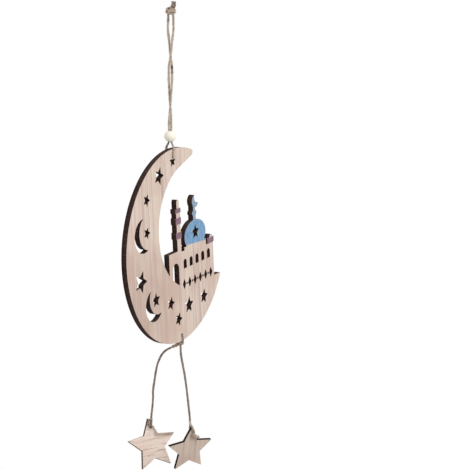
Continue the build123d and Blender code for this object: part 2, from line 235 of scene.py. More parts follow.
def add_plies(parts, line, seed, diameter, frayed, fullness):
    """Twisted plies along a line. Frayed is the length over which the far end opens, and fullness
    gives places in millimetres along the line with the twine's share of its diameter there."""
    rng = np.random.default_rng(seed)
    spaced, along = even_line(line, RING_STEP)
    _, sides, others = line_frames(spaced)
    ply_radius = diameter / 2 / (1 + 2 / math.sqrt(3))
    ply_offset = diameter / 2 - ply_radius
    around = np.linspace(0, FULL_TURN, PLY_SIDES, endpoint=False)
    opening = np.clip((along - along[-1] + frayed) / frayed, 0, 1) if frayed else along * 0
    slubs = uneven(along, SLUB_LENGTH, lambda count: rng.uniform(*SLUB_RANGE, count))
    full = np.interp(along / MM, *zip(*fullness))
    for ply in range(PLIES):
        lumps = uneven(along, LUMP_LENGTH, lambda count: rng.normal(1.0, LUMP_SPREAD, count))
        angle = FULL_TURN * (along / TWINE_LAY + ply / PLIES)
        reach = ply_offset * slubs * full * (1 + FRAY_OPENING * opening)
        middle = spaced + reach[:, None] * (
            np.cos(angle)[:, None] * sides + np.sin(angle)[:, None] * others
        )
        radius = ply_radius * PLY_OVERLAP * slubs * full * lumps * (1 - FRAY_THINNING * opening)
        skin = 1 + rng.normal(0, SKIN_SPREAD, (len(spaced), PLY_SIDES))
        turn = around[None, :] + angle[:, None]
        rings = middle[:, None, :] + (radius[:, None] * skin)[:, :, None] * (
            np.cos(turn)[:, :, None] * sides[:, None, :]
            + np.sin(turn)[:, :, None] * others[:, None, :]
        )
        off_axis = np.linalg.norm(rings - spaced[:, None, :], axis=2)
        depth = off_axis / (diameter / 2 * full[:, None])
        lay = np.stack(
            [
                np.repeat(along[:, None], PLY_SIDES, axis=1) / MM,
                np.broadcast_to(np.sin(around)[None, :] + STREAK_SHIFT * ply, depth.shape),
                depth,
            ],
            axis=2,
        )
        parts.tube(rings, lay)
    return spaced


def add_fibres(parts, line, seed, longest, diameter):
    """Stray fibres that stand off the twine's surface."""
    rng = np.random.default_rng(seed)
    spaced, along = even_line(line, RING_STEP)
    tangents, sides, others = line_frames(spaced)
    margin = min(int(longest / RING_STEP), len(spaced) // 3)
    ring = np.linspace(0, FULL_TURN, FIBRE_SIDES, endpoint=False)
    thick = FIBRE_RADIUS * FIBRE_TAPER
    for _ in range(int(FIBRES_PER_MM * along[-1] / MM)):
        place = rng.integers(margin, len(spaced) - margin)
        angle = rng.uniform(0, FULL_TURN)
        outward = math.cos(angle) * sides[place] + math.sin(angle) * others[place]
        across = np.cross(tangents[place], outward)
        run = tangents[place] * rng.choice((-1, 1))
        length = rng.uniform(*FIBRE_LENGTHS) * longest
        lift = rng.uniform(*FIBRE_LIFTS)
        curl = rng.normal(0, FIBRE_CURL)
        root = spaced[place] + outward * diameter * FIBRE_ROOT
        path = root + length * (
            FIBRE_PLACES[:, None] * run
            + (lift * FIBRE_PLACES**FIBRE_LIFT_BEND)[:, None] * outward * FIBRE_LIFT_SHARE
            + (curl * FIBRE_PLACES**2)[:, None] * across
        )
        rings = path[:, None, :] + thick[:, None, None] * (
            np.cos(ring)[None, :, None] * outward + np.sin(ring)[None, :, None] * across
        )
        lay = np.zeros(rings.shape)
        lay[:, :, 0] = along[place] / MM
        lay[:, :, 1] = rng.uniform(*FIBRE_STREAKS)
        lay[:, :, 2] = FIBRE_DEPTH
        parts.tube(rings, lay)


class Shader:
    """A Principled material and short ways to add nodes to it."""

    def __init__(self, name):
        self.material = bpy.data.materials.new(name)
        self.material.use_nodes = True
        self.tree = self.material.node_tree
        self.bsdf = self.tree.nodes["Principled BSDF"]

    def feed(self, socket, value):
        """Link a socket to an input, or set the input to a plain value."""
        if isinstance(value, bpy.types.NodeSocket):
            self.tree.links.new(value, socket)
        else:
            socket.default_value = value

    def math(self, operation, first, second=0.0):
        node = self.tree.nodes.new("ShaderNodeMath")
        node.operation = operation
        self.feed(node.inputs[0], first)
        self.feed(node.inputs[1], second)
        return node.outputs[0]

    def times(self, first, *others):
        """Product of values."""
        for other in others:
            first = self.math("MULTIPLY", first, other)
        return first

    def dot(self, vector, direction):
        node = self.tree.nodes.new("ShaderNodeVectorMath")
        node.operation = "DOT_PRODUCT"
        self.feed(node.inputs[0], vector)
        node.inputs[1].default_value = direction
        return node.outputs["Value"]

    def coordinates(self):
        """Place and surface direction in the piece's own frame."""
        node = self.tree.nodes.new("ShaderNodeTexCoord")
        return node.outputs["Object"], node.outputs["Normal"]

    def local(self, origin, *ways):
        """Millimetres from an origin along some directions."""
        place, _ = self.coordinates()
        origin = Vector(origin)
        return [self.math("SUBTRACT", self.dot(place, way / MM), origin.dot(way)) for way in ways]

    def distance(self, first, second, first_at, second_at):
        """Distance in a plane from a point of it."""
        aside = self.math("SUBTRACT", first, first_at)
        above = self.math("SUBTRACT", second, second_at)
        return self.math("SQRT", self.math("ADD", self.times(aside, aside), self.times(above, above)))

    def inside(self, value, low, high, soft=0.12):
        """One between two values, zero outside, with a short slope at each."""
        rise = self.span(value, low - soft, low + soft)
        fall = self.span(value, high - soft, high + soft, 1.0, 0.0)
        return self.times(rise, fall)

    def vector(self, values, factors):
        """Vector of values times factors, which draw a noise out along one of them."""
        node = self.tree.nodes.new("ShaderNodeCombineXYZ")
        for socket, value, factor in zip(node.inputs, values, factors):
            self.feed(socket, value if factor == 1 else self.times(value, factor))
        return node.outputs[0]

    def noise(self, vector, scale=1.0, detail=3.0, roughness=0.55):
        node = self.tree.nodes.new("ShaderNodeTexNoise")
        self.feed(node.inputs["Vector"], vector)
        node.inputs["Scale"].default_value = scale
        node.inputs["Detail"].default_value = detail
        node.inputs["Roughness"].default_value = roughness
        return node.outputs["Fac"]

    def ramp(self, value, places, colours):
        """Colours at places of a value, blended between."""
        node = self.tree.nodes.new("ShaderNodeValToRGB")
        elements = node.color_ramp.elements
        while len(elements) < len(places):
            elements.new(0.5)
        for element, place, colour in zip(elements, places, colours):
            element.position = place
            element.color = colour
        self.feed(node.inputs[0], value)
        return node.outputs["Color"]

    def span(self, value, low, high, to_low=0.0, to_high=1.0):
        """A value's range mapped to another range, and held beyond it."""
        node = self.tree.nodes.new("ShaderNodeMapRange")
        self.feed(node.inputs["Value"], value)
        names = ("From Min", "From Max", "To Min", "To Max")
        for name, number in zip(names, (low, high, to_low, to_high)):
            node.inputs[name].default_value = number
        return node.outputs["Result"]

    def mix(self, share, first, second, blend="MIX"):
        node = self.tree.nodes.new("ShaderNodeMix")
        node.data_type = "RGBA"
        node.blend_type = blend
        self.feed(node.inputs["Factor"], share)
        self.feed(node.inputs[6], first)
        self.feed(node.inputs[7], second)
        return node.outputs[2]

    def bump(self, height, strength, distance):
        node = self.tree.nodes.new("ShaderNodeBump")
        node.inputs["Strength"].default_value = strength
        node.inputs["Distance"].default_value = distance
        self.feed(node.inputs["Height"], height)
        self.feed(self.bsdf.inputs["Normal"], node.outputs["Normal"])

    def finish(self, colour, roughness):
        self.feed(self.bsdf.inputs["Base Color"], colour)
        self.feed(self.bsdf.inputs["Roughness"], roughness)
        return self.material


# Range that holds most values of a noise
NOISE_RANGE = (0.3, 0.7)

# Twine colour: places of dark, middle and light in the mixed noise, and how noises are drawn out
TWINE_STOPS = (0.37, 0.47, 0.58)
FIBRE_SHARE = 0.45
FIBRE_STRETCH = (0.35, 3.5, 1)
PATCH_STRETCH = (0.24, 0.5, 1)
PATCH_LAYER = 3.0
SHRED_STRETCH = (0.5, 1.2, 1)
SHRED_LAYER = 9.0
# Painted shade in the grooves: the depths over which it fades out, and its strength
GROOVE_SHADE_DEPTHS = (0.45, 1.0)
GROOVE_SHADE = 0.8
DARKER_SLOPE = 1.2
DARK_PLACE_CORE = 0.6
SHRED_EDGE = (0.4, 0.5)
TWINE_BUMP = (0.6, 0.25 * MM)
TWINE_ROUGHNESS = (0.95, 0.78)
# Dark tone of the bark flecks, also used for painted shade on the loop's legs under the bead
BARK_AND_SHADE = srgb(44, 30, 25)


def twine_material(name, light, middle, dark, darker_from=None, darker_share=0.6, flecks_and_shade=()):
    """Dry bast fibre: streaks along each ply, painted shade in the grooves between plies, and darker
    above a given height, which on the hanging loop is painted shade under the top knot. Flecks of
    bark, and painted shade on the loop's legs under the bead, are given as places and half lengths in
    millimetres along the twine, and strengths."""
    shader = Shader(name)
    attribute = shader.tree.nodes.new("ShaderNodeAttribute")
    attribute.attribute_name = "lay"
    split = shader.tree.nodes.new("ShaderNodeSeparateXYZ")
    shader.feed(split.inputs[0], attribute.outputs["Vector"])
    along, around, depth = split.outputs
    fibres = shader.noise(
        shader.vector((along, around, depth), FIBRE_STRETCH), detail=4.0, roughness=0.65
    )
    patches = shader.noise(shader.vector((along, around, PATCH_LAYER), PATCH_STRETCH), detail=2.0)
    shreds = shader.noise(shader.vector((along, around, SHRED_LAYER), SHRED_STRETCH), detail=2.0)
    tone = shader.math(
        "ADD", shader.times(fibres, FIBRE_SHARE), shader.times(patches, 1 - FIBRE_SHARE)
    )
    colour = shader.ramp(tone, TWINE_STOPS, (dark, middle, light))
    # Painted shade: ply faces near the twine's middle, deep in the grooves between plies, are
    # darkened towards the dark tone
    colour = shader.mix(shader.span(depth, *GROOVE_SHADE_DEPTHS, GROOVE_SHADE, 0.0), colour, dark)
    # Bark flecks, and painted shade on the loop's legs under the bead, darken towards the bark tone
    # in shreds
    for dark_place, reach, strength in flecks_and_shade:
        away = shader.math("ABSOLUTE", shader.math("SUBTRACT", along, dark_place))
        near = shader.span(away, DARK_PLACE_CORE * reach, reach, strength, 0.0)
        share = shader.times(near, shader.span(shreds, *SHRED_EDGE))
        colour = shader.mix(share, colour, BARK_AND_SHADE)
    # Darker above a given height: on the hanging loop this is painted shade under the top knot, on
    # the top knot its upper turns and tails are darker
    if darker_from is not None:
        place, _ = shader.coordinates()
        height = shader.dot(place, (0, 0, 1 / MM))
        darker = shader.span(height, darker_from - DARKER_SLOPE, darker_from + DARKER_SLOPE, 0.0, darker_share)
        colour = shader.mix(darker, colour, dark)
    shader.bump(fibres, *TWINE_BUMP)
    return shader.finish(colour, shader.span(fibres, *NOISE_RANGE, *TWINE_ROUGHNESS))


hanger_twine = twine_material(
    "hanger_twine",
    srgb(240, 226, 210),
    srgb(208, 189, 170),
    srgb(112, 89, 75),
    # Painted shade: the loop's strands just under the top knot, darkened as in the knot's shadow
    darker_from=-4.0,
    darker_share=0.3,
    flecks_and_shade=[
        (207.9, 2.2, 1.0),
        (204.2, 1.4, 1.0),
        # Painted shade: the back leg from the board up into the bead, darkened as in the bead's
        # shadow
        (140.5, 9.0, 0.75),
        # Painted shade: the front leg where it leaves the bead, darkened as in the bead's shadow
        (108.5, 4.5, 0.4),
        (71.6, 1.6, 0.5),
        (65.7, 1.9, 0.55),
        (61.3, 1.4, 0.5),
    ],
)
knot_twine = twine_material(
    "knot_twine", srgb(226, 208, 189), srgb(184, 163, 144), srgb(104, 82, 69), darker_from=7.6
)
tie_twine = twine_material(
    "tie_twine", srgb(216, 197, 180), srgb(180, 158, 141), srgb(104, 84, 72)
)
coil_twine = twine_material(
    "coil_twine", srgb(232, 216, 201), srgb(202, 182, 166), srgb(118, 97, 84)
)
star_twine = twine_material(
    "star_twine", srgb(183, 164, 150), srgb(146, 128, 115), srgb(87, 72, 63)
)


def make_twine(
    name,
    routes,
    material,
    seed,
    diameter,
    frayed=0.0,
    longest=FIBRE_LONGEST,
    fullness=EVEN_TWINE,
):
    """Twine piece along one or more routes, and the line of each."""
    parts = MeshParts()
    lines = []
    for index, route in enumerate(routes):
        line = nurbs_line(route)
        lines.append(add_plies(parts, line, seed + index, diameter, frayed, fullness))
        add_fibres(parts, line, seed + FIBRE_SEED_STEP + index, longest, diameter)
    return parts.build(name, material), lines


# Hanging loop: one strand down from the knot, through the bead and the board, and back up
LEG_Y = 3.75
STRAND = [
    (0.0, -2.5, 0.8),
    (0.0, -2.5, -4.0),
    (0.0, -3.0, -10.0),
    (-0.35, -2.05, -18.0),
    (-0.75, -1.3, -26.0),
    (-1.1, -0.6, -34.5),
    (-1.15, 0.9, -42.5),
    (-0.65, 1.4, -51.0),
    (-0.05, 1.35, -59.5),
    (0.5, 1.1, -68.0),
    (1.05, 0.6, -76.5),
    (1.1, -0.25, -84.5),
    (0.85, -0.7, -91.5),
    (0.2, -1.1, -97.5),
    (0.0, -1.1, -102.0),
    (0.0, -1.1, -107.9),
    (0.0, -LEG_Y - 0.1, -112.1),
    (0.0, -LEG_Y, -116.7),
    (0.0, -LEG_Y - 0.1, -121.9),
]
LOOP = STRAND + [(-x, -y, z) for x, y, z in reversed(STRAND)]
LOOP_FULLNESS = [
    (0, 1.0),
    (32, 1.0),
    (42, 1.1),
    (50, 1.1),
    (64, 0.87),
    (103, 0.87),
    (107, 0.74),
    (112, 0.76),
    (116, 0.97),
    (119, 0.97),
    (122, 0.87),
    (189, 0.87),
    (203, 1.1),
    (211, 1.1),
    (221, 1.0),
    (253, 1.0),
]
loop, loop_lines = make_twine(
    "hanging_loop",
    [LOOP],
    hanger_twine,
    seed=11,
    diameter=TWINE_DIAMETER,
    fullness=LOOP_FULLNESS,
)
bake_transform(loop)
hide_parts("hanging_cord_top", "hanging_cord_lower")


def facing_point(aside, near, height):
    """Point given to the right and near, as the photograph shows the knot, and by its height."""
    turn_x, turn_y = math.cos(CAMERA_TURN), math.sin(CAMERA_TURN)
    return (turn_x * aside - turn_y * near, -turn_y * aside - turn_x * near, height)


# Top knot: each strand winds round the other and both leave upwards as short tails
KNOT_RIGHT = [
    (2.17, 1.24, 0.8),
    (2.1, 1.7, 2.2),
    (0.4, 2.6, 2.7),
    (-2.5, 2.2, 3.2),
    (-3.9, 0.4, 4.2),
    (-3.0, -1.9, 5.2),
    (0.2, -2.8, 5.3),
    (3.0, -1.8, 5.2),
    (3.6, 0.4, 5.5),
    (2.2, 2.2, 6.2),
    (-0.2, 2.0, 6.8),
    (0.2, 0.9, 8.0),
    (1.1, 0.6, 9.5),
    (1.6, 0.3, 11.3),
    (1.4, 0.2, 13.3),
]
KNOT_LEFT = [
    (-2.17, -1.24, 0.8),
    (-2.5, -1.5, 2.2),
    (-0.6, -2.6, 3.0),
    (2.4, -2.1, 3.5),
    (3.7, 0.2, 3.9),
    (2.4, 2.4, 4.5),
    (-0.6, 3.0, 5.0),
    (-3.3, 1.6, 5.8),
    (-3.4, -0.6, 6.6),
    (-0.8, -1.5, 7.3),
    (2.2, -1.0, 7.5),
    (3.3, -0.3, 8.8),
    (3.3, 0.2, 11.0),
    (3.4, 0.2, 13.2),
]
knot_routes = [[facing_point(*point) for point in strand] for strand in (KNOT_RIGHT, KNOT_LEFT)]
top_knot, _ = make_twine(
    "top_knot_twine",
    knot_routes,
    knot_twine,
    seed=23,
    diameter=TWINE_DIAMETER,
    frayed=1.4 * MM,
)
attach(top_knot, "hanger")
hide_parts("top_knot")

# Twine through the hole at the board's lower edge, and the twisted knot under it
KNOT_X = 19.05
KNOT_Z = -287.41
KNOT_DIP = math.radians(26.5)
HOLE_Z = -279.59
EDGE_LOOP = [
    (KNOT_X, -3.3, -286.0),
    (KNOT_X, -3.5, HOLE_Z - 3.2),
    (KNOT_X, -3.4, HOLE_Z - 0.35),
    (KNOT_X, -1.5, HOLE_Z - 0.6),
    (KNOT_X, 1.5, HOLE_Z - 0.6),
    (KNOT_X, 3.4, HOLE_Z - 0.35),
    (KNOT_X, 3.5, HOLE_Z - 3.2),
    (KNOT_X, 3.4, -288.4),
]
TWIST_POINTS = 18
TWIST_START = -3.5
TWIST_STEP = 0.78
TWIST_LAY = 6.0
TWIST_RADIUS = 0.74
TWIST_TAPER = 0.2
TWIST_TAPER_FROM = 14
TWIST_PHASE = 0.4


def knot_point(along, aside, above):
    """Point of the edge knot, given along its axis and off it."""
    rise, run = math.sin(KNOT_DIP), math.cos(KNOT_DIP)
    return (KNOT_X + aside, along * run + above * rise, KNOT_Z - along * rise + above * run)


def knot_twist(phase):
    """One of the two strands that wind round each other along the knot's axis."""
    points = []
    for step in range(TWIST_POINTS):
        along = TWIST_START + TWIST_STEP * step
        angle = phase + FULL_TURN * along / TWIST_LAY
        reach = TWIST_RADIUS - TWIST_TAPER * max(0, step - TWIST_TAPER_FROM)
        points.append(knot_point(along, reach * math.cos(angle), reach * math.sin(angle)))
    return points


EDGE_WRAP = [
    knot_point(-3.6, 0.2, 0.9),
    knot_point(-3.0, 1.5, 0.4),
    knot_point(-2.5, 0.9, -1.4),
    knot_point(-2.0, -1.3, -0.9),
    knot_point(-1.6, -1.2, 0.6),
    knot_point(-1.1, 0.8, 0.7),
    knot_point(-0.9, 1.3, -0.8),
    (KNOT_X + 0.2, -1.0, -288.3),
    (KNOT_X, -1.0, -289.5),
]
edge_knot, _ = make_twine(
    "edge_knot_twine",
    [EDGE_LOOP, knot_twist(TWIST_PHASE), knot_twist(TWIST_PHASE + math.pi), EDGE_WRAP],
    tie_twine,
    seed=61,
    diameter=STAR_TWINE_DIAMETER,
    longest=1.8 * MM,
)
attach(edge_knot, "board")
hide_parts("edge_loop", "star_cord_knot")

# Cords of the stars, on through the stars' holes to the knots that hold them
LEFT_ROUTE = [
    (19.05, 8.99, -291.89),
    (19.05, 12.5, -293.5),
    (18.7, 16.8, -297.1),
    (18.7, 20.35, -302.9),
    (18.7, 22.95, -309.6),
    (18.7, 24.65, -318.8),
    (18.75, 26.15, -328.1),
    (18.75, 26.95, -333.7),
    (18.75, 26.6, -337.1),
    (18.8, 27.05, -343.5),
    (18.85, 27.75, -350.1),
    (18.9, 28.55, -356.2),
    (18.9, 28.55, -361.0),
]
RIGHT_ROUTE = [
    (19.05, -1.0, -289.41),
    (18.7, -1.2, -293.2),
    (18.6, -2.0, -299.2),
    (18.4, -3.9, -307.0),
    (18.2, -6.1, -316.2),
    (18.0, -7.95, -327.0),
    (17.9, -9.4, -337.5),
    (17.75, -10.9, -347.0),
    (17.6, -11.9, -355.6),
    (17.6, -11.9, -361.2),
]
STAR_THICKNESS = 3.0
STAR_HOLE_EDGE = 7.2
STAR_HOLE_X = 1.0
TIE_STANDOFF = 2.9
KNOT_GAP = 0.3
KNOT_RISE = 1.6


class HungStar:
    """Directions and places of one hanging star, in millimetres."""

    def __init__(self, radius, facing, lean, roll, cord_end, turn_z, way):
        turn, back, spin = (math.radians(value) for value in (facing, lean, roll))
        level = Vector((math.cos(turn), -math.sin(turn), 0))
        self.front = Vector(
            (-math.sin(turn) * math.cos(back), -math.cos(turn) * math.cos(back), math.sin(back))
        )
        self.right = level * math.cos(spin) + self.front.cross(level) * math.sin(spin)
        self.up = self.front.cross(self.right)
        self.radius = radius
        self.hole_rise = radius - STAR_HOLE_EDGE
        self.through = self.front * way
        self.turn = Vector((cord_end[0], cord_end[1], turn_z))
        hole = self.turn + self.through * TIE_STANDOFF
        self.hole_front = hole + self.front * STAR_THICKNESS / 2
        self.middle = hole - self.up * self.hole_rise - self.right * STAR_HOLE_X
        self.knot_face = hole + self.through * (STAR_THICKNESS / 2 + KNOT_GAP)
        self.knot_middle = self.knot_face + self.through * KNOT_RISE

    def knot_point(self, right, up, out):
        """Point given from the knot's middle, on the side where the cord ends."""
        return tuple(self.knot_middle + self.right * right + self.up * up + self.through * out)

    def tie_point(self, right, up, out):
        """Point given from the hole's middle on the star's front."""
        return tuple(self.hole_front + self.right * right + self.up * up + self.front * out)


left_star = HungStar(
    radius=23.9, facing=34.6, lean=14.9, roll=5.2, cord_end=LEFT_ROUTE[-1], turn_z=-365.2, way=-1
)
right_star = HungStar(
    radius=21.8, facing=33.3, lean=-16.2, roll=3.4, cord_end=RIGHT_ROUTE[-1], turn_z=-366.1, way=1
)

# Behind the left star: out of the hole, round itself and away to a short tail
BACK_KNOT = [
    (0.0, 0.0, -1.9),
    (-0.5, 0.7, -0.9),
    (-1.4, 0.5, 0.2),
    (-0.9, -1.2, 0.5),
    (0.9, -1.3, 0.3),
    (1.7, 0.1, 0.0),
    (0.7, 1.4, -0.3),
    (-0.9, 1.0, 0.3),
    (-0.8, -0.5, 1.0),
    (0.8, -0.7, 0.9),
    (1.6, 0.4, 0.3),
    (2.6, -0.2, 0.1),
    (4.0, -1.2, 0.0),
    (5.4, -1.9, 0.1),
]
# On the left star's front: up from the hole, round the string and back down
FRONT_HITCH = [
    (-0.3, 0.2, -1.0),
    (-0.8, 1.2, 0.7),
    (-1.3, 2.8, 1.1),
    (-1.3, 4.6, 1.5),
    (-0.6, 6.0, 2.5),
    (0.2, 6.5, 3.5),
    (0.9, 6.0, 3.0),
    (1.0, 5.0, 2.0),
    (0.6, 3.8, 1.2),
    (0.3, 2.4, 1.0),
    (0.2, 0.9, 0.8),
    (0.1, 0.2, -0.8),
]
# Round the right star's tip, from the string behind it to the hole in front
TIP_WRAP = [
    (0.3, 9.8, -7.0),
    (0.0, 9.4, -5.8),
    (-0.5, 8.9, -4.0),
    (-0.7, 8.5, -1.8),
    (-0.4, 7.9, 0.6),
    (0.1, 6.2, 1.2),
    (0.8, 4.4, 1.1),
    (1.2, 2.8, 1.1),
    (0.9, 1.2, 1.0),
    (0.2, 0.3, 0.4),
    (0.0, 0.0, -1.2),
]
# On the right star's front: out of the hole and away to the right as a loosely coiled tail, whose
# middle starts at a place, moves on and bends, as three terms to the right and upwards
COIL_STEM = [(0.0, 0.0, -1.9), (-0.2, 0.7, -0.9)]
COIL_STEPS = 17
COIL_TURNS = 2.7
COIL_RADIUS = 0.95
COIL_RIGHT = (0.2, 4.8, 1.1)
COIL_UP = (1.6, -5.2, 1.5)
COIL_OUT = 0.35
COIL_SLANT = (0.5, 0.86)


def coiled_tail():
    """Points of the coiled tail from the right star's hole."""
    points = list(COIL_STEM)
    for step in range(COIL_STEPS):
        share = step / (COIL_STEPS - 1)
        angle = FULL_TURN * COIL_TURNS * share
        right = COIL_RIGHT[0] + COIL_RIGHT[1] * share + COIL_RIGHT[2] * share**2
        up = COIL_UP[0] + COIL_UP[1] * share + COIL_UP[2] * share**2
        swing = COIL_RADIUS * math.cos(angle)
        out = COIL_OUT + COIL_RADIUS * math.sin(angle)
        points.append((right + COIL_SLANT[0] * swing, up + COIL_SLANT[1] * swing, out))
    return points


left_ties = [
    [left_star.knot_point(*point) for point in BACK_KNOT],
    [left_star.tie_point(*point) for point in FRONT_HITCH],
]
right_ties = [
    [right_star.knot_point(*point) for point in coiled_tail()],
    [right_star.tie_point(*point) for point in TIP_WRAP],
]
for side, star, route, length, string_seed, ties, tie_material, tie_seed in (
    ("left", left_star, LEFT_ROUTE, 0.0835, 31, left_ties, tie_twine, 81),
    ("right", right_star, RIGHT_ROUTE, 0.0818, 38, right_ties, coil_twine, 86),
):
    string, lines = make_twine(
        f"{side}_star_string",
        [route + [tuple(star.turn), tuple(star.knot_face)]],
        star_twine,
        seed=string_seed,
        diameter=STAR_TWINE_FULL,
        longest=2.2 * MM,
    )
    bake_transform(string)
    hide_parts(f"star_cord_{side}", f"{side}_star_tie")
    knot, _ = make_twine(
        f"{side}_star_tied",
        ties,
        tie_material,
        seed=tie_seed,
        diameter=STAR_TWINE_FULL,
        frayed=1.8 * MM,
        longest=1.6 * MM,
    )
    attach(knot, f"{side}_star")
    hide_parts(f"{side}_star_knot")


# Wood: how its noises are drawn out across, through and along the grain, and the shares of their
# colours, as two values of the noise and the share at each
STREAK_STRETCH = (0.42, 0.42, 0.011)
BAND_STRETCH = (0.075, 0.08, 0.0045)
PORE_STRETCH = (3.4, 3.4, 0.17)
CLOUD_STRETCH = (0.03, 0.03, 0.022)
SWAY_STRETCH = (0.09, 0.05, 1)
SWAY_LAYER = 7.0
BURN_STRETCH = (1.3, 0.16, 1.3)
BAND_SHARE = (0.5, 0.66, 0.0, 0.7)
CLOUD_SHARE = (0.48, 0.66, 0.0, 0.7)
PORE_SHARE = (0.6, 0.76, 0.0, 0.35)
PORE_HEIGHT = -0.35
GRAIN_STOPS = (0.32, 0.48, 0.64)
BURN_STOPS = (0.3, 0.5, 0.72)
PAINT_STOPS = (0.3, 0.5, 0.7)
FACE_EDGE = (0.45, 0.55)
WOOD_SPECULAR = 0.12
WOOD_BUMP = (0.35, 0.12 * MM)
HEIGHT_RANGE = (0.2, 0.8)
BOARD_ROUGHNESS = (0.82, 0.66)
STAR_ROUGHNESS = (0.84, 0.68)


def grain(shader, across, along, through, light, middle, dark, pale, pink, wave=0.0):
    """Wood with streaks along its grain, broad bands of colour and fine pores."""
    if wave:
        sway = shader.noise(shader.vector((along, across, SWAY_LAYER), SWAY_STRETCH), detail=2.0)
        across = shader.math("ADD", across, shader.span(sway, 0.0, 1.0, -wave, wave))
    axes = (across, through, along)
    streaks = shader.noise(shader.vector(axes, STREAK_STRETCH), detail=6.0, roughness=0.62)
    bands = shader.noise(shader.vector(axes, BAND_STRETCH), detail=2.0)
    pores = shader.noise(shader.vector(axes, PORE_STRETCH), detail=2.0)
    clouds = shader.noise(shader.vector(axes, CLOUD_STRETCH), detail=2.0)
    colour = shader.ramp(streaks, GRAIN_STOPS, (dark, middle, light))
    colour = shader.mix(shader.span(bands, *BAND_SHARE), colour, pale)
    colour = shader.mix(shader.span(clouds, *CLOUD_SHARE), colour, pink)
    colour = shader.mix(shader.span(pores, *PORE_SHARE), colour, dark)
    height = shader.math("ADD", streaks, shader.times(pores, PORE_HEIGHT))
    return colour, height


def burnt(shader, x, through, z, dark, middle, light):
    """Laser-cut wall with scorched lines through the thickness."""
    lines = shader.noise(shader.vector((x, through, z), BURN_STRETCH), detail=5.0, roughness=0.6)
    return shader.ramp(lines, BURN_STOPS, (dark, middle, light)), lines


def cut_wood(shader, facing, face, height, wall, lines, rough):
    """Wood with its face colour on the flat sides and its wall colour on the cut ones."""
    flat = shader.span(shader.math("ABSOLUTE", facing), *FACE_EDGE)
    shader.bump(shader.mix(flat, lines, height), *WOOD_BUMP)
    shader.bsdf.inputs["Specular IOR Level"].default_value = WOOD_SPECULAR
    roughness = shader.span(height, *HEIGHT_RANGE, *rough)
    return shader.finish(shader.mix(flat, wall, face), roughness)


# Board: its directions, tones and the paint's places, in millimetres from the crescent's centre
BOARD_TILT = math.radians(5.66)
BOARD_RIGHT = Vector((math.cos(BOARD_TILT), 0, math.sin(BOARD_TILT)))
BOARD_UP = Vector((-math.sin(BOARD_TILT), 0, math.cos(BOARD_TILT)))
BOARD_FRONT = Vector((0, -1, 0))
BOARD_HALF = 2.5
BOARD_TONES = (
    srgb(231, 214, 204),
    srgb(216, 196, 184),
    srgb(188, 162, 147),
    srgb(223, 206, 188),
    srgb(204, 176, 163),
)
BOARD_WALL = (srgb(34, 22, 19), srgb(58, 40, 35), srgb(94, 67, 56))
WALL_DEPTHS = (0.0, 0.55, 0.85, 1.0)
WALL_SHADES = (0.35, 1.0, 0.9, 0.45)
DARK_PATCH = (-60.0, -42.0)
DARK_PATCH_FADE = (12.0, 62.0, 0.5, 0.0)
DARK_PATCH_TONE = srgb(180, 152, 137)
BLUES = (srgb(107, 146, 181), srgb(126, 163, 196), srgb(145, 178, 204))
THIN_BLUE = srgb(160, 166, 174)
PURPLES = (srgb(123, 94, 109), srgb(139, 110, 124), srgb(158, 132, 143))
TURRET_CAP_TONE = srgb(200, 184, 186)
STROKE_STRETCH = (0.5, 0.12, 1)
STROKE_LAYER = 2.0
PAINT_RAGGED = 0.45
RAGGED_SCALE = 420.0
WORN_SCALE = 900.0
WORN_SHARE = (0.22, 0.34, 0.55, 1.0)
DOME_X = (11.5, 53.0)
DOME_Z = (-2.0, 50.0)
DOME_SLOPE = 0.072
DOME_MIDDLE = (32.0, 3.5)
DOME_HALF = (19.0, 13.3)
DOME_RIM = (0.91, 0.98, 0.0, 0.45)
FINIAL_THIN = (19.0, 30.0, 0.0, 0.55)
MINARET_X = (-3.5, 11.0)
MINARET_BANDS = ((5.2, 11.1), (18.2, 24.2), (28.2, 32.4))
TURRET_X = (52.9, 68.0)
TURRET_BAND = (-10.3, -5.4)
TURRET_CAP = (-5.4, 0.0)


